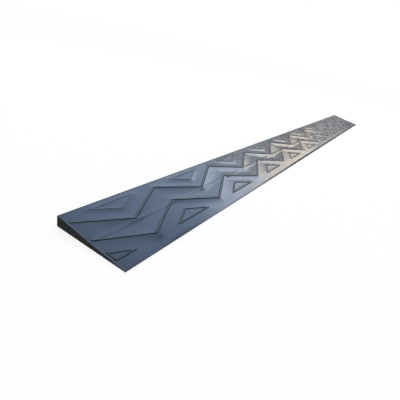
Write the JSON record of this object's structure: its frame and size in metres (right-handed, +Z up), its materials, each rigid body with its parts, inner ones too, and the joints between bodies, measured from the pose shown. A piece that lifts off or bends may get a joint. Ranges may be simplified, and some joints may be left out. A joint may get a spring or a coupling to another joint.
{
  "type": "threshold ramp",
  "caption": "Long low rubber wedge with a moulded zigzag tread, taped to the floor in front of a door sill so that wheels roll over it.",
  "frame": {"origin": "centre of the footprint, on the floor", "axes": "+X along the doorway, +Y from the thin front edge towards the tall rear face, +Z up"},
  "size_m": [1, 0.072, 0.01],
  "materials": {
    "rubber": "moulded black rubber with a grey-blue satin skin",
    "foam_tape": "closed-cell foam tape, matte",
    "release_liner": "waxed kraft paper, satin"
  },
  "bodies": {
    "root": {"rubber_wedge": "rubber", "rear_adhesive_tape": "foam_tape", "front_adhesive_tape": "foam_tape", "rear_release_liner": "release_liner", "front_release_liner": "release_liner"}
  },
  "joints": []
}
